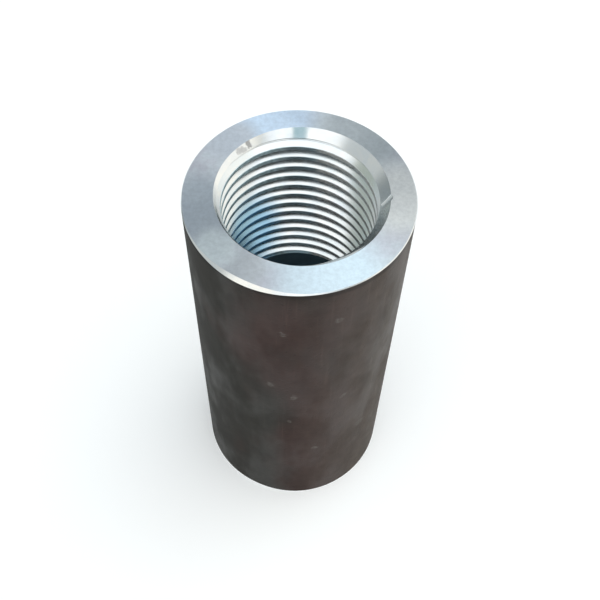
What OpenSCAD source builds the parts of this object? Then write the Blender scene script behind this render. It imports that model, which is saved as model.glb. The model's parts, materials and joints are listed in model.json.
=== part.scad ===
// Rebar coupler: a thick steel sleeve, threaded from both ends, that joins two
// reinforcing bars of 25 mm end to end.
// It stands on one end face. The origin is the centre of that face, and +Z is the axis.

/* [Sleeve] */
// Outside diameter of the tube that the sleeve is cut from
outer_d = 38; // [34:0.5:48]
// Overall length, face to face
sleeve_len = 80; // [72:1:120]
// Edge break on the two outer rims, along the face and along the side
rim_break = 0.2; // [0.1:0.1:1]

/* [Thread] */
// Nominal diameter, to the root of the thread
thread_d = 28; // [22:0.5:29]
// Distance from one turn to the next
pitch = 2.5; // [1.5:0.25:3.5]
// Depth of the threaded stretch, from the end face
thread_len = 33; // [20:1:35]
// Angle between the two flanks of a groove
flank_angle = 60; // [50:5:60]
// Direction in which the groove runs out of the end face
thread_start = 60; // [0:5:355]
// Part of a turn in which the groove fades out at its deep end
fade_turn = 0.15; // [0.1:0.05:0.5]

/* [Bore] */
// How much wider than the thread the countersunk mouth is
mouth_over = 0.6; // [0.2:0.1:2]
// How far the tube's own bore, left between the two threads, stands in from the crests
bore_step = 0.25; // [0.2:0.05:1]

/* [Smoothness] */
// Flat steps in one turn of the thread
turn_steps = 36; // [24:4:40]

/* [Hidden] */

mill_scale = [0.28, 0.26, 0.25];
turned_steel = [0.74, 0.77, 0.80];

outer_r = outer_d / 2;
root_r = thread_d / 2;
crest_r = root_r - pitch / 2;              // the tap drill leaves the crests half a pitch deep
mouth_r = root_r + mouth_over / 2;
mouth_depth = mouth_r - crest_r;           // a countersink of 90 degrees
middle_r = crest_r - bore_step;

over = 1;                                  // how far a cut runs past the face it leaves by
cutter_inset = 0.1;                        // how far the thread cutter starts inside the crests
cutter_tip = 0.01;                         // what is left of the cutter where its groove fades out
cutter_r = crest_r - cutter_inset;
root_half = pitch / 16;                    // half the flat at a groove's root, an eighth of a pitch
cutter_top = pitch / 4;                    // the cutter starts above the end face
cutter_end = pitch / 4 - thread_len;       // and stops before the threaded stretch does
last_step = ceil((cutter_top - cutter_end) / pitch * turn_steps);

$fn = 96;

// How much of a full groove the cutter makes after a number of steps: all of it, then a fade.
function fullness(step) = min(1, (last_step - step) / turn_steps / fade_turn);

// The four corners of the cutter's section after a number of steps, going down the bore.
// The thread is right-handed, so going down turns it clockwise as seen from above.
function section_at(step) =
    let (
        angle = thread_start - 360 * step / turn_steps,
        middle_z = cutter_top - pitch * step / turn_steps,
        reach = cutter_tip + (root_r - cutter_r - cutter_tip) * fullness(step),
        root = cutter_r + reach,
        mouth_half = root_half + reach * tan(flank_angle / 2),
        corners = [
            [cutter_r, mouth_half], [cutter_r, -mouth_half],
            [root, -root_half], [root, root_half]
        ]
    )
    [for (c = corners) [c[0] * cos(angle), c[0] * sin(angle), middle_z + c[1]]];

// One long cutter in the shape of the groove, wound down from the plane z = 0.
module thread_cutter() {
    corners = [for (step = [0 : last_step]) each section_at(step)];
    sides = [for (step = [0 : last_step - 1], side = [0 : 3])
        let (here = 4 * step + side, beside = 4 * step + (side + 1) % 4)
        each [[here, beside + 4, beside], [here, here + 4, beside + 4]]];
    top_end = [[0, 2, 3], [0, 1, 2]];
    e = 4 * last_step;
    deep_end = [[e, e + 2, e + 1], [e, e + 3, e + 2]];
    polyhedron(corners, concat(top_end, sides, deep_end));
}

// The bore and countersink of one end, with that end's face at z = 0 and the bore going down.
module end_bore() {
    rotate_extrude()
        polygon([
            [0, over], [mouth_r + over, over], [crest_r, -mouth_depth],
            [crest_r, -thread_len], [0, -thread_len]
        ]);
}

// The tube as sawn and faced: mill scale outside, with its two outer rims broken.
module blank() {
    face_r = outer_r - rim_break;
    rotate_extrude()
        polygon([
            [0, 0], [face_r, 0], [outer_r, rim_break],
            [outer_r, sleeve_len - rim_break], [face_r, sleeve_len], [0, sleeve_len]
        ]);
}

// The blank with the tube's own bore through it, and its ends drilled for the threads.
module bored_blank() {
    difference() {
        color(mill_scale) blank();
        color(mill_scale) translate([0, 0, -over]) cylinder(r = middle_r, h = sleeve_len + 2 * over);
        color(turned_steel) translate([0, 0, sleeve_len]) end_bore();
        color(turned_steel) rotate([180, 0, 0]) end_bore();
    }
}

// The finished sleeve: one thread is cut down from the upper end, then one up from the lower.
module sleeve() {
    difference() {
        difference() {
            bored_blank();
            color(turned_steel) translate([0, 0, sleeve_len]) thread_cutter();
        }
        color(turned_steel) rotate([180, 0, 0]) thread_cutter();
    }
}

sleeve();
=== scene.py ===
"""A rebar coupler for 25 mm bar: a dark steel sleeve, faced, countersunk and tapped from both ends."""
import json
from math import atan2, cos, pi, radians, sin, tan

import bmesh
import bpy
from mathutils import Matrix, Vector, noise


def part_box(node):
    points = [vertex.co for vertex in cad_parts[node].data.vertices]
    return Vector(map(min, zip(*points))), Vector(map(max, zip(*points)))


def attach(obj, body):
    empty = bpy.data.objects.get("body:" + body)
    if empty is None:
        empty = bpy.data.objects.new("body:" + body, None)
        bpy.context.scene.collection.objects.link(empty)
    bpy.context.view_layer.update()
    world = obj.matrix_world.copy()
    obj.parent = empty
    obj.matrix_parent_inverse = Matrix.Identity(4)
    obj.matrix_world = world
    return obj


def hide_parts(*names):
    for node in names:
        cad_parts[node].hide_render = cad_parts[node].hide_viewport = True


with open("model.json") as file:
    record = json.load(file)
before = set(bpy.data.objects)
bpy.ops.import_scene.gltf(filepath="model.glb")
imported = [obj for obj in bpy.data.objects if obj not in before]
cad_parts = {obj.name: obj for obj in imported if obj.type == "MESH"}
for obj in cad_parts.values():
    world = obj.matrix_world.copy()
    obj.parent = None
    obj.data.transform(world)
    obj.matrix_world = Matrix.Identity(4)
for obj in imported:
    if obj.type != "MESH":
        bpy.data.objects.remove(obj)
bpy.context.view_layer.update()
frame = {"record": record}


# ---------------------------------------------------------------------------------------
# The tube
# A length of thick-walled seamless steel tube, sawn off and faced at both ends. Each mouth is
# countersunk, the upper one a little off centre. The rims are filed, most of all on one side.
# ---------------------------------------------------------------------------------------
MM = 0.001
foot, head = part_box("sleeve")
mounts = {mount["name"]: mount for mount in frame["record"]["mounts"]}
thread_mount = mounts["upper_thread"]

outer_r = (head.y - foot.y) / 2
top = head.z
bottom = foot.z
crest_r = thread_mount["dims"]["r_mm"] * MM
countersink_depth = top - thread_mount["pos_m"][2]
thread_depth = countersink_depth + thread_mount["dims"]["length_mm"] * MM
mouth_r = crest_r + countersink_depth
bore_step = 0.25 * MM          # the crests stand this far back from the plain middle bore
middle_r = crest_r - bore_step
rim_break = 0.4 * MM
light_filing = 0.35            # share of the rim break that is filed off all round
heavy_filing = 1.2             # and what is added to it on the side that was filed most
filed_side = radians(-117)
filing_focus = 12              # the higher, the shorter the stretch that was filed most
skin_dip = 0.05 * MM           # how far in the skin dips at most
skin_waves = Vector((90, 90, 40))   # how many dips there are to the metre, across and along the tube
sink_slip = Vector((0.41, 0.64, 0)) * MM    # how far off centre the upper countersink was cut

TUBE_STEPS = 192
SKIN_ROWS = 96
FACE_ROWS = 3
BORE_ROWS = 6
BEVEL_ROWS = 2
HAIR = 0.01 * MM               # a difference smaller than this counts as none
SKIN, FACE, COUNTERSINK, THREAD, BORE = range(5)   # the order of the finishes


def lathe(outline, steps):
    """A closed ring turned about Z from an outline of (radius, height) points."""
    mesh = bmesh.new()
    points = [mesh.verts.new((radius, 0, height)) for radius, height in outline]
    edges = [mesh.edges.new(pair) for pair in zip(points, points[1:] + points[:1])]
    bmesh.ops.spin(mesh, geom=points + edges, cent=(0, 0, 0), axis=(0, 0, 1),
                   angle=2 * pi, steps=steps, use_merge=True, use_duplicate=False)
    bmesh.ops.remove_doubles(mesh, verts=mesh.verts, dist=0.001 * MM)
    bmesh.ops.recalc_face_normals(mesh, faces=mesh.faces)
    return mesh


def radius_of(point):
    return (point.x ** 2 + point.y ** 2) ** 0.5


def stretch(start, end, pieces):
    """The points of a straight stretch of an outline, without its last one."""
    return [tuple(a + (b - a) * i / pieces for a, b in zip(start, end)) for i in range(pieces)]


def piece_from(mesh, name):
    """Makes an object of a bmesh, and frees the bmesh."""
    data = bpy.data.meshes.new(name)
    mesh.to_mesh(data)
    mesh.free()
    made = bpy.data.objects.new(name, data)
    bpy.context.scene.collection.objects.link(made)
    return made


def filing(angle):
    """How much of the rim break was filed off in one direction."""
    return light_filing + heavy_filing * max(0.0, cos(angle - filed_side)) ** filing_focus


skin_low, skin_high = bottom + rim_break, top - rim_break
face_r = outer_r - rim_break
sink_run = countersink_depth + (crest_r - middle_r)
outline = (
    stretch((outer_r, skin_low), (outer_r, skin_high), SKIN_ROWS)
    + stretch((outer_r, skin_high), (face_r, top), BEVEL_ROWS)
    + stretch((face_r, top), (mouth_r, top), FACE_ROWS)
    + stretch((mouth_r, top), (middle_r, top - sink_run), BEVEL_ROWS)
    + stretch((middle_r, top - sink_run), (middle_r, bottom + sink_run), BORE_ROWS)
    + stretch((middle_r, bottom + sink_run), (mouth_r, bottom), BEVEL_ROWS)
    + stretch((mouth_r, bottom), (face_r, bottom), FACE_ROWS)
    + stretch((face_r, bottom), (outer_r, skin_low), BEVEL_ROWS)
)
tube_mesh = lathe(outline, TUBE_STEPS)
for face in tube_mesh.faces:
    centre = face.calc_center_median()
    depth = min(top - centre.z, centre.z - bottom)
    radius = radius_of(centre)
    if radius > face_r:
        face.material_index = SKIN if depth > rim_break else COUNTERSINK   # the file leaves it bright
    elif radius > mouth_r:
        face.material_index = FACE
    elif depth < sink_run:
        face.material_index = COUNTERSINK
    else:
        face.material_index = BORE
for corner in tube_mesh.verts:
    place = corner.co.copy()
    radius = radius_of(place)
    on_top = place.z > (top + bottom) / 2
    if radius > face_r - HAIR:
        end = top if on_top else bottom
        if abs(end - place.z) < rim_break + HAIR:
            share = filing(atan2(place.y, place.x))
            place.xy *= (outer_r + (radius - outer_r) * share) / radius
            place.z = end + (place.z - end) * share
        dip = skin_dip * (1 + noise.noise(place * skin_waves)) / 2
        place.xy *= 1 - dip / outer_r
        corner.co = place
    elif on_top and radius < mouth_r + HAIR and place.z > top - sink_run - HAIR:
        run = (top - place.z) / sink_run        # 0 at the mouth, 1 where the cone meets the bore
        corner.co += (1 - run) * sink_slip
        corner.co.z -= run * sink_slip.dot(place) / radius
sleeve = piece_from(tube_mesh, "coupler_sleeve")


def add_step(tree, kind, **given):
    """Adds a node. What is given is a setting of the node, or a value or a link for a socket."""
    made = tree.nodes.new("ShaderNode" + kind)
    for name, value in given.items():
        socket = made.inputs.get(name.replace("_", " "))
        if socket is None:
            setattr(made, name, value)
        elif isinstance(value, bpy.types.NodeSocket):
            tree.links.new(value, socket)
        else:
            socket.default_value = value
    return made


def feed(tree, socket, value):
    """Sets a socket to a value, or links the value to it."""
    if isinstance(value, bpy.types.NodeSocket):
        tree.links.new(value, socket)
    else:
        socket.default_value = value


def maths(tree, operation, *values):
    made = tree.nodes.new("ShaderNodeMath")
    made.operation = operation
    for socket, value in zip(made.inputs, values):
        feed(tree, socket, value)
    return made.outputs[0]


def blend(tree, amount, a, b, how="MIX"):
    """Mixes two colours. Sockets 6 and 7 and output 2 are the node's own ones for colours."""
    made = tree.nodes.new("ShaderNodeMix")
    made.data_type = "RGBA"
    made.blend_type = how
    for socket, value in ((0, amount), (6, a), (7, b)):
        feed(tree, made.inputs[socket], value)
    return made.outputs[2]


def ramp(tree, value, low, high, start=0.0, end=1.0, smooth=True):
    """Runs from start to end while a value goes from low to high, and stays there beyond."""
    made = add_step(tree, "MapRange", interpolation_type="SMOOTHSTEP" if smooth else "LINEAR")
    for socket, given in zip(made.inputs, (value, low, high, start, end)):
        feed(tree, socket, given)
    return made.outputs[0]


def grain(tree, place, size, detail=3.0, roughness=0.55, squash=(1, 1, 1)):
    """Noise between 0 and 1 whose blots are about as long as the size, in metres."""
    scaled = add_step(tree, "Mapping", Vector=place, Scale=[s / size for s in squash])
    made = add_step(tree, "TexNoise", Vector=scaled.outputs[0], Scale=1.0,
                    Detail=detail, Roughness=roughness)
    return made.outputs["Fac"]


def shade(tree, color, value, low, high, start, end):
    """Darkens or lightens a colour by a factor that follows a value."""
    return blend(tree, 1.0, color, ramp(tree, value, low, high, start, end), "MULTIPLY")


def finish(name, metallic, roughness):
    """A new material, with its node tree, its shader and the socket that gives a point's place. The
    metal share and the roughness hold where nothing is linked to them."""
    made = bpy.data.materials.new(name)
    made.use_nodes = True
    tree = made.node_tree
    surface = tree.nodes["Principled BSDF"]
    surface.inputs["Metallic"].default_value = metallic
    surface.inputs["Roughness"].default_value = roughness
    return made, tree, surface, add_step(tree, "TexCoord").outputs["Object"]


def emboss(tree, surface, height, depth):
    """Bumps the surface by a height, which is 0 to 1 or so, times a depth in metres."""
    made = add_step(tree, "Bump", Height=height, Distance=depth, Strength=1.0)
    tree.links.new(made.outputs[0], surface.inputs["Normal"])


def axis_of(tree, place, letter):
    """One of a place's X, Y and Z."""
    return add_step(tree, "SeparateXYZ", Vector=place).outputs[letter]


def flattened(tree, place):
    """The same place at height 0."""
    return add_step(tree, "Mapping", Vector=place, Scale=(1, 1, 0)).outputs[0]


def reach_of(tree, place):
    """Distance from the axis."""
    level = flattened(tree, place)
    return add_step(tree, "VectorMath", operation="LENGTH", Vector=level).outputs["Value"]


def near(tree, place, spot, size):
    """1 on a mark round a spot and 0 outside it. It fades between 0.3 and 0.7 of its size."""
    apart = add_step(tree, "VectorMath", operation="DISTANCE", Vector=place)
    apart.inputs[1].default_value = spot
    return ramp(tree, apart.outputs["Value"], size * 0.3, size * 0.7, 1.0, 0.0)


def ragged(tree, place, size):
    """The same place shifted about by noise, so that a mark round a spot has a rough edge."""
    sway = 1.8 * size
    noisy = add_step(tree, "TexNoise", Vector=place, Scale=1 / size, Detail=2.0).outputs["Color"]
    shifted = add_step(tree, "VectorMath", operation="MULTIPLY_ADD", Vector=noisy)
    shifted.inputs[1].default_value = (sway,) * 3
    tree.links.new(place, shifted.inputs[2])
    centred = add_step(tree, "Mapping", Vector=shifted.outputs[0], Location=(-sway / 2,) * 3)
    return centred.outputs[0]


def spot_at(angle, radius, depth=None):
    """A place, from its direction in degrees and its radius and depth below the upper face in mm.
    It is at height 0 if no depth is given."""
    height = 0 if depth is None else top - depth * MM
    return (radius * MM * cos(radians(angle)), radius * MM * sin(radians(angle)), height)


# Mill scale: dull oxide, grey next to brown, with streaks where the tube was drawn and small chips where
# the oxide has flaked off. One side is painted paler, as painted light, and a painted shade lies just
# under the upper rim.
mill_scale, tree, surface, place = finish("mill_scale", 0.0, 0.62)
surface.inputs["Specular IOR Level"].default_value = 0.15
grey_scale = (0.018, 0.0165, 0.0132, 1)
brown_scale = (0.035, 0.0178, 0.0148, 1)
painted_light_scale = (0.072, 0.058, 0.048, 1)
chipped_scale = (0.11, 0.10, 0.088, 1)
level = flattened(tree, place)
rusty = near(tree, level, spot_at(-78, outer_r / MM), 28 * MM)
sooty = near(tree, level, spot_at(-138, outer_r / MM), 30 * MM)
patches = grain(tree, place, 18 * MM, 3.0, 0.5, (1, 1, 0.55))
patches = maths(tree, "MULTIPLY_ADD", rusty, 0.20, patches)
patches = ramp(tree, maths(tree, "MULTIPLY_ADD", sooty, -0.14, patches), 0.42, 0.70)
color = blend(tree, patches, grey_scale, brown_scale)
blots = grain(tree, place, 10 * MM, 3.0, 0.6, (1, 1, 0.5))
# painted light: the scale is paler towards +X, the side that faces the bright wall on the right
toward_lit_side = maths(tree, "MULTIPLY_ADD", blots, 10 * MM, axis_of(tree, place, "X"))
color = blend(tree, ramp(tree, toward_lit_side, 2 * MM, 26 * MM), color, painted_light_scale)
streaks = grain(tree, place, 3.5 * MM, 3.0, 0.6, (1, 1, 0.15))
color = shade(tree, color, streaks, 0.3, 0.7, 0.92, 1.08)
mottle = grain(tree, place, 2.2 * MM, 5.0, 0.65)
color = shade(tree, color, mottle, 0.3, 0.7, 0.90, 1.10)
pits = ramp(tree, grain(tree, place, 0.55 * MM, 2.0), 0.58, 0.68)
color = shade(tree, color, pits, 0.0, 1.0, 1.0, 0.8)
drawn = ramp(tree, grain(tree, place, 0.6 * MM, 2.0, 0.5, (1, 1, 0.04)), 0.60, 0.72)
color = shade(tree, color, drawn, 0.0, 1.0, 1.0, 1.18)
rough_place = ragged(tree, place, 0.9 * MM)
chips = 0.0
for angle, depth, size in ((-69, 9, 1.3), (-96, 12, 1.2), (-103, 30, 1.5), (-90, 34, 1.4),
                           (-61, 37, 1.2), (-92, 44, 0.9), (-76, 57, 1.1), (-45, 55, 2.4),
                           (40, 20, 1.4), (75, 48, 1.6), (130, 12, 1.2), (165, 62, 1.5),
                           (100, 66, 1.0), (15, 40, 1.3)):
    chip = near(tree, rough_place, spot_at(angle, outer_r / MM, depth), size * MM)
    chips = maths(tree, "MAXIMUM", chips, chip)
flaked = ramp(tree, grain(tree, place, 0.5 * MM, 2.0), 0.35, 0.65, 0.2, 0.6)
color = blend(tree, maths(tree, "MULTIPLY", chips, flaked), color, chipped_scale)
height = axis_of(tree, place, "Z")
color = shade(tree, color, height, top - 1.7 * MM, top - 0.8 * MM, 1.0, 0.5)   # painted shade under the rim
tree.links.new(color, surface.inputs["Base Color"])
tree.links.new(ramp(tree, blots, 0.35, 0.65, 0.48, 0.72), surface.inputs["Roughness"])
hollows = maths(tree, "ADD", maths(tree, "MULTIPLY", chips, 0.5), maths(tree, "MULTIPLY", pits, 0.4))
emboss(tree, surface, maths(tree, "SUBTRACT", mottle, hollows), 0.035 * MM)

# Faced steel: bright, with the lathe's fine rings, and paler and darker patches round the ring that are
# painted reflection.
faced_steel, tree, surface, place = finish("faced_steel", 1.0, 0.42)
surface.inputs["Anisotropic"].default_value = 0.78
surface.inputs["Anisotropic Rotation"].default_value = 0.25
tangent = add_step(tree, "Tangent", direction_type="RADIAL", axis="Z")
tree.links.new(tangent.outputs[0], surface.inputs["Tangent"])
clouds = grain(tree, place, 5 * MM, 4.0, 0.6)
color = blend(tree, ramp(tree, clouds, 0.35, 0.65), (0.64, 0.64, 0.69, 1), (0.67, 0.71, 0.75, 1))
ring_r = (mouth_r + outer_r) / 2
# painted reflection: paler bluish and darker grey patches placed round the ring
for angle, size, reflection_tone in ((-72, 17, (0.70, 0.80, 0.86)), (108, 16, (0.66, 0.77, 0.90)),
                           (55, 15, (0.56, 0.60, 0.62)), (-170, 13, (0.56, 0.61, 0.66)),
                           (1, 14, (0.89, 0.89, 0.87)), (-119, 6, (0.58, 0.61, 0.64)),
                           (-140, 7, (0.80, 0.86, 0.88)), (135, 9, (0.57, 0.60, 0.65))):
    reflection_patch = near(tree, place, spot_at(angle, ring_r / MM, 0), size * MM)
    color = blend(tree, reflection_patch, color, (*reflection_tone, 1))
specks = grain(tree, place, 0.8 * MM, 4.0, 0.65)
color = shade(tree, color, specks, 0.3, 0.7, 0.92, 1.05)
tree.links.new(color, surface.inputs["Base Color"])
tree.links.new(ramp(tree, clouds, 0.3, 0.7, 0.36, 0.47), surface.inputs["Roughness"])
ring_place = add_step(tree, "CombineXYZ", X=reach_of(tree, place))
rings = grain(tree, ring_place.outputs[0], 0.35 * MM, 3.0)
emboss(tree, surface, maths(tree, "ADD", rings, maths(tree, "MULTIPLY", specks, 0.6)), 0.008 * MM)

# Countersunk steel: cut by a single blunt edge, so it is smooth and almost a mirror. The filed
# rims have it too. Two dark smudges of three blots each lie side by side in the upper mouth.
countersunk_steel, tree, surface, place = finish("countersunk_steel", 1.0, 0.2)
clouds = grain(tree, place, 3 * MM, 4.0, 0.6)
color = blend(tree, ramp(tree, clouds, 0.35, 0.65), (0.74, 0.75, 0.74, 1), (0.69, 0.72, 0.74, 1))
rough_place = ragged(tree, place, 0.4 * MM)
smudge_drop = 0.3                # their middles lie this many mm below the cone's true place
for angle, radius, size, grey in ((137.5, 14.1, 1.1, 0.46), (135, 14.0, 1.2, 0.44),
                                  (133, 13.8, 1.0, 0.46), (128.5, 14.6, 0.8, 0.33),
                                  (128.5, 14.3, 0.9, 0.31), (128, 14.0, 0.9, 0.33)):
    spot = spot_at(angle, radius, mouth_r / MM + smudge_drop - radius)
    smudge = near(tree, rough_place, spot, size * MM)
    color = blend(tree, smudge, color, (grey, grey * 1.03, grey * 1.06, 1))
tree.links.new(color, surface.inputs["Base Color"])
tree.links.new(ramp(tree, clouds, 0.3, 0.7, 0.10, 0.20), surface.inputs["Roughness"])
ring_place = add_step(tree, "CombineXYZ", X=reach_of(tree, place))
emboss(tree, surface, grain(tree, ring_place.outputs[0], 0.3 * MM, 2.0), 0.004 * MM)

# Bore scale: what is left of the tube's own bore between the threads keeps its dull blue-grey scale.
bore_scale, tree, surface, place = finish("bore_scale", 0.0, 0.6)
mottle = grain(tree, place, 2 * MM, 4.0, 0.6)
color = blend(tree, mottle, (0.065, 0.125, 0.170, 1), (0.125, 0.205, 0.260, 1))
tree.links.new(color, surface.inputs["Base Color"])
emboss(tree, surface, mottle, 0.05 * MM)


# ---------------------------------------------------------------------------------------
# The threads
# M28 x 2.5, right-hand, tapped from each end. The tap is made as a solid screw and cut away from
# the tube, so its core opens the bore out to the thread's crests, and the first groove runs out
# across the countersink as a real one does.
# ---------------------------------------------------------------------------------------
pitch = 2.5 * MM
root_r = crest_r + pitch / 2
flank = radians(30)            # each flank's slope from square to the axis
crest_round = 0.08 * MM
root_round = 0.24 * MM
runs_out_at = radians(60)      # about where the groove runs out of the end face
fade_turn = 0.15               # part of a turn in which the groove dies away at its deep end
last_groove = pitch / 4        # how far above the end of the threaded stretch it is gone
tap_over = 1 * MM              # how far the tap stands out of the end face
spare_turns = 2                # wound on at each end of the tap, and then cut off square
TAP_STEPS = 120


def rounded(before, corner, after, radius, pieces):
    """The points of an arc that rounds a corner of an outline off."""
    here = Vector(corner)
    a = (Vector(before) - here).normalized()
    b = (Vector(after) - here).normalized()
    half = a.angle(b) / 2
    centre = here + (a + b).normalized() * radius / sin(half)
    start = here + a * radius / tan(half) - centre
    end = here + b * radius / tan(half) - centre
    turn = start.angle_signed(end)
    arc = [centre + Matrix.Rotation(-turn * i / pieces, 2) @ start for i in range(pieces + 1)]
    return [tuple(point) for point in arc]


def screw_outline(middle):
    """One turn of the thread's section as (radius, height), from a crest's middle to the next."""
    root_half = pitch / 16
    mouth_half = root_half + (root_r - crest_r) * tan(flank)
    crest_above = (crest_r, middle + pitch / 2)
    edge_above = (crest_r, middle + mouth_half)
    root_above = (root_r, middle + root_half)
    root_below = (root_r, middle - root_half)
    edge_below = (crest_r, middle - mouth_half)
    crest_below = (crest_r, middle - pitch / 2)
    return (
        [crest_above]
        + rounded(crest_above, edge_above, root_above, crest_round, 2)
        + rounded(edge_above, root_above, root_below, root_round, 2)
        + rounded(root_above, root_below, edge_below, root_round, 2)
        + rounded(root_below, edge_below, crest_below, crest_round, 2)
        + [crest_below]
    )


def groove_middle(angle, height):
    """Height of the groove's middle nearest to a given height, in one direction. Both heights
    are measured from the end face."""
    first = pitch / 4 - pitch * (runs_out_at - angle) / (2 * pi)
    return first + pitch * round((height - first) / pitch)


def tap():
    """A solid screw of the thread's full form, with its axis on Z and the end face at height 0."""
    mesh = bmesh.new()
    section = screw_outline(groove_middle(0, tap_over + spare_turns * pitch))
    points = [mesh.verts.new((radius, 0, height)) for radius, height in section]
    edges = [mesh.edges.new(pair) for pair in zip(points, points[1:])]
    bmesh.ops.spin(mesh, geom=points + edges, cent=(0, 0, 0), axis=(0, 0, 1),
                   dvec=(0, 0, -pitch / TAP_STEPS), angle=-2 * pi, steps=TAP_STEPS,
                   use_merge=False, use_duplicate=False)
    one_turn = mesh.verts[:] + mesh.edges[:] + mesh.faces[:]
    turns = int((thread_depth + tap_over) / pitch) + 1 + 2 * spare_turns
    for turn in range(1, turns):
        copied = bmesh.ops.duplicate(mesh, geom=one_turn)["geom"]
        bmesh.ops.translate(mesh, vec=(0, 0, -pitch * turn),
                            verts=[v for v in copied if isinstance(v, bmesh.types.BMVert)])
    bmesh.ops.remove_doubles(mesh, verts=mesh.verts, dist=0.002 * MM)
    last = last_groove - thread_depth
    for corner in mesh.verts:
        radius = radius_of(corner.co)
        middle = groove_middle(atan2(corner.co.y, corner.co.x), corner.co.z)
        full = max(0.0, min(1.0, (middle - last) / pitch / fade_turn))
        corner.co.xy *= (crest_r + (radius - crest_r) * full) / radius
    for height, side in ((tap_over, 1), (-thread_depth, -1)):
        everything = mesh.verts[:] + mesh.edges[:] + mesh.faces[:]
        bmesh.ops.bisect_plane(mesh, geom=everything, dist=0.0001 * MM, plane_co=(0, 0, height),
                               plane_no=(0, 0, side), clear_outer=True)
        rim = [edge for edge in mesh.edges if edge.is_boundary
               and all(abs(v.co.z - height) < 0.001 * MM for v in edge.verts)]
        bmesh.ops.edgeloop_fill(mesh, edges=rim)
    bmesh.ops.recalc_face_normals(mesh, faces=mesh.faces)
    return mesh


# Thread steel: the tap leaves the flanks bright, and the crests stay dull from the drill. Away from the
# back the crests are painted paler, bluer to the left, as painted sheen, and are less metal there; at the
# back they stay dark. A painted blue reflection covers a patch on the left that is taller than it is
# wide.
thread_steel, tree, surface, place = finish("thread_steel", 1.0, 0.2)
dull = ramp(tree, reach_of(tree, place), crest_r, crest_r + 0.14 * MM, 1.0, 0.0)
clouds = grain(tree, place, 4 * MM, 4.0, 0.6)
flank_steel = blend(tree, ramp(tree, clouds, 0.35, 0.65), (0.74, 0.75, 0.74, 1), (0.70, 0.74, 0.76, 1))
# painted reflection: a blue patch on the left of the bore, on flanks and crests
blue_sheen_spot = Vector(spot_at(136, 12.9, 24))
blue_sheen_squash = 0.6
blue_sheen_shift = (0, 0, (1 - blue_sheen_squash) * blue_sheen_spot.z)
squashed = add_step(tree, "Mapping", Vector=place, Location=blue_sheen_shift, Scale=(1, 1, blue_sheen_squash))
blue_sheen = near(tree, squashed.outputs[0], blue_sheen_spot, 13 * MM)
flank_steel = blend(tree, blue_sheen, flank_steel, (0.27, 0.44, 0.55, 1))
# painted sheen: the crests are paler away from the back, greyer to the right and bluer to the left, and
# less metal there
to_right = ramp(tree, axis_of(tree, place, "X"), -6 * MM, 3 * MM)
crest_sheen = blend(tree, to_right, (0.44, 0.57, 0.61, 1), (0.58, 0.58, 0.56, 1))
specks = grain(tree, place, 0.8 * MM, 4.0, 0.65)
crest_sheen = shade(tree, crest_sheen, specks, 0.35, 0.65, 0.75, 1.15)
crest_sheen = blend(tree, blue_sheen, crest_sheen, (0.16, 0.42, 0.70, 1))
dark_back_stripe = near(tree, flattened(tree, place), (0, crest_r, 0), 5.5 * MM)
crest_sheen_mask = maths(tree, "MULTIPLY", dull, maths(tree, "SUBTRACT", 1.0, dark_back_stripe))
color = blend(tree, dull, flank_steel, (0.50, 0.60, 0.64, 1))
color = blend(tree, crest_sheen_mask, color, crest_sheen)
tree.links.new(ramp(tree, crest_sheen_mask, 0.0, 1.0, 1.0, 0.45, smooth=False), surface.inputs["Metallic"])
tree.links.new(color, surface.inputs["Base Color"])
smooth_flanks = ramp(tree, clouds, 0.3, 0.7, 0.18, 0.25)
rough = maths(tree, "ADD", smooth_flanks, maths(tree, "MULTIPLY", dull, 0.2))
tree.links.new(rough, surface.inputs["Roughness"])
emboss(tree, surface, grain(tree, place, 0.6 * MM, 2.0, 0.5, (1, 1, 0.6)), 0.0015 * MM)

FINISHES = (mill_scale, faced_steel, countersunk_steel, thread_steel, bore_scale)


def give_finishes(piece):
    """Every piece has all the finishes in one order, so that a cut keeps them apart."""
    for each in FINISHES:
        piece.data.materials.append(each)


def cut(body, mesh, name, finish_index):
    """Cuts a tool's shape away from a body for good. The cut has the finish with that index."""
    for face in mesh.faces:
        face.material_index = finish_index
    tool = piece_from(mesh, name)
    give_finishes(tool)
    step = body.modifiers.new("cut", "BOOLEAN")
    step.operation = "DIFFERENCE"
    step.solver = "MANIFOLD"
    step.object = tool
    graph = bpy.context.evaluated_depsgraph_get()
    data = bpy.data.meshes.new_from_object(body.evaluated_get(graph))
    body.modifiers.clear()
    old = body.data
    body.data = data
    bpy.data.meshes.remove(old)
    bpy.data.objects.remove(tool)


give_finishes(sleeve)
upper_tap = tap()
lower_tap = tap()               # turned over, it still cuts a right-hand thread
bmesh.ops.rotate(lower_tap, verts=lower_tap.verts, cent=(0, 0, 0), matrix=Matrix.Rotation(pi, 3, "X"))
for screw, end in ((upper_tap, top), (lower_tap, bottom)):
    bmesh.ops.translate(screw, verts=screw.verts, vec=(0, 0, end))
    cut(sleeve, screw, "tap", THREAD)


# ---------------------------------------------------------------------------------------
# The nick
# Something hard and round-edged, such as the end of a bar, struck the upper mouth and left a
# short bright groove across the countersink. It is pressed in last, and ends the sleeve's making.
# ---------------------------------------------------------------------------------------
nick_angle = radians(-3)
nick_r = 0.9 * MM
nick_depth = 0.22 * MM
nick_length = 2.6 * MM
nick_step = 0.5 * MM           # its middle lies this far down the cone from the mouth
nick_lean = 1.4                # how far outwards it runs for each step round the mouth
sharp_angle = radians(12)      # edges that turn by more than this are shaded sharp

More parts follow.
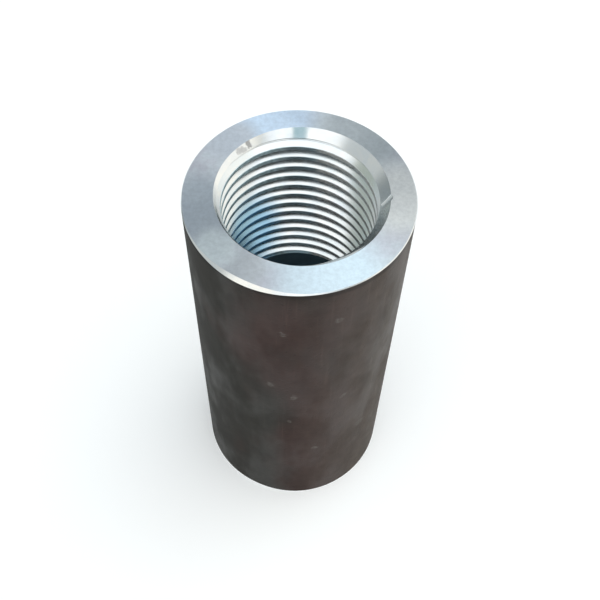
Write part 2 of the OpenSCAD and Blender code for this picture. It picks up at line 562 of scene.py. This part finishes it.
up_cone = Vector((cos(nick_angle), sin(nick_angle), 1))
off_cone = Vector((-cos(nick_angle), -sin(nick_angle), 1)).normalized()
round_cone = Vector((-sin(nick_angle), cos(nick_angle), 0))
nick_reach = mouth_r - nick_step
nick_x = nick_reach * cos(nick_angle)
nick_y = nick_reach * sin(nick_angle)
nick_middle = sink_slip + Vector((nick_x, nick_y, top - nick_step))
nick = bmesh.new()
bmesh.ops.create_cone(nick, cap_ends=True, segments=32, radius1=nick_r, radius2=nick_r, depth=nick_length)
lie = (up_cone * nick_lean + round_cone).to_track_quat("Z", "Y").to_matrix()
bmesh.ops.rotate(nick, verts=nick.verts, cent=(0, 0, 0), matrix=lie)
bmesh.ops.translate(nick, verts=nick.verts, vec=nick_middle + off_cone * (nick_r - nick_depth))
cut(sleeve, nick, "nick", COUNTERSINK)
sleeve.data.name = "coupler_sleeve"
sleeve.data.set_sharp_from_angle(angle=sharp_angle)

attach(sleeve, "root")
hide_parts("sleeve")


# ---------------------------------------------------------------------------------------
# The floor and the light
# A white table in a pale room. There are no lamps: the room itself glows, with soft brighter and
# dimmer patches and one sharp card for the steel to mirror. The camera sees the room plain white.
# ---------------------------------------------------------------------------------------
half_table = 3                 # metres, so that its edges are far off
table_glow = 0.12              # whitens it a little to the camera and to the steel that mirrors it

floor_mesh = bmesh.new()
bmesh.ops.create_grid(floor_mesh, x_segments=1, y_segments=1, size=half_table)
floor = piece_from(floor_mesh, "floor")
white_table, tree, surface, place = finish("white_table", 0.0, 0.8)
surface.inputs["Base Color"].default_value = (0.92, 0.92, 0.92, 1)
surface.inputs["Emission Color"].default_value = (1, 1, 1, 1)
rays = add_step(tree, "LightPath").outputs
looked_at = maths(tree, "MAXIMUM", rays["Is Camera Ray"], rays["Is Glossy Ray"])
tree.links.new(maths(tree, "MULTIPLY", looked_at, table_glow), surface.inputs["Emission Strength"])
floor.data.materials.append(white_table)

world = bpy.data.worlds.new("studio")
bpy.context.scene.world = world
world.use_nodes = True
tree = world.node_tree
outward = add_step(tree, "TexCoord").outputs["Generated"]


def along_way(way):
    """How far each direction of the room goes along one way: 1 straight at it, 0 square to it."""
    facing = add_step(tree, "VectorMath", operation="DOT_PRODUCT", Vector=outward)
    facing.inputs[1].default_value = way
    return facing.outputs["Value"]


def glow(before, toward, reach, edge, color):
    """Puts a soft-edged round patch of light in the room; reach and edge are in degrees."""
    facing = along_way(Vector(toward).normalized())
    amount = ramp(tree, facing, cos(radians(reach + edge)), cos(radians(max(0, reach - edge))))
    return blend(tree, amount, before, (*color, 1))


def card(before, toward, half_width, half_height, color):
    """Puts a sharp-edged upright card in the room; its half sizes are in degrees."""
    out = Vector(toward).normalized()
    side = out.cross((0, 0, 1)).normalized()
    inside = 1.0
    for way, half in ((side, half_width), (side.cross(out), half_height)):
        size = sin(radians(half))
        off = maths(tree, "ABSOLUTE", along_way(way))
        inside = maths(tree, "MULTIPLY", inside, ramp(tree, off, size * 0.9, size * 1.1, 1.0, 0.0))
    inside = maths(tree, "MULTIPLY", inside, maths(tree, "GREATER_THAN", along_way(out), 0.0))
    return blend(tree, inside, before, (*color, 1))


room = (0.66, 0.70, 0.70, 1)
room = glow(room, (0.0, 0.75, 0.66), 28, 16, (0.38, 0.42, 0.46))          # dim behind
room = glow(room, (0.88, 0.10, 0.35), 34, 14, (1.32, 1.30, 1.22))         # a warm wall on the right
room = glow(room, (-0.78, 0.62, 0.05), 20, 14, (0.30, 0.34, 0.35))        # the far left corner
room = glow(room, (0.0, -0.40, 0.92), 39, 5, (1.42, 1.46, 1.48))          # over the camera
room = glow(room, (0.26, 0.26, 0.93), 14, 8, (2.30, 2.55, 2.65))          # overhead
room = glow(room, (-0.66, 0.12, 0.74), 13, 6, (0.44, 0.50, 0.46))         # a grey-green curtain
room = glow(room, (-0.58, -0.73, 0.36), 16, 5, (1.35, 1.33, 1.25))        # a lit wall low on the left
room = card(room, (0.07, -0.733, 0.677), 6.7, 5, (0.40, 0.61, 0.69))      # a grey-blue card
seen = add_step(tree, "LightPath").outputs["Is Camera Ray"]
tree.links.new(blend(tree, seen, room, (1, 1, 1, 1)), tree.nodes["Background"].inputs["Color"])
tree.nodes["Background"].inputs["Strength"].default_value = 1.0


# ---------------------------------------------------------------------------------------
# The camera
# It looks down steeply from close by, so the sleeve narrows towards its foot. It is aimed a
# little below the mouth and held slightly askew.
# ---------------------------------------------------------------------------------------
stand_off = 147.75 * MM                # from the middle of the mouth
height_angle = radians(50.82)          # how high it stands, seen from there
tip = radians(90 - 57.29)              # turned up from looking straight down
pan = radians(-0.406)
roll = radians(2.007)

lens = bpy.data.cameras.new("camera")
lens.lens = 55.0
lens.sensor_width = 36
camera = bpy.data.objects.new("camera", lens)
bpy.context.scene.collection.objects.link(camera)
camera.location = (0, -stand_off * cos(height_angle), top + stand_off * sin(height_angle))
turn = Matrix.Rotation(pan, 3, "Z") @ Matrix.Rotation(tip, 3, "X") @ Matrix.Rotation(roll, 3, "Z")
camera.rotation_euler = turn.to_euler()
bpy.context.scene.camera = camera
bpy.context.scene.view_settings.view_transform = "Standard"
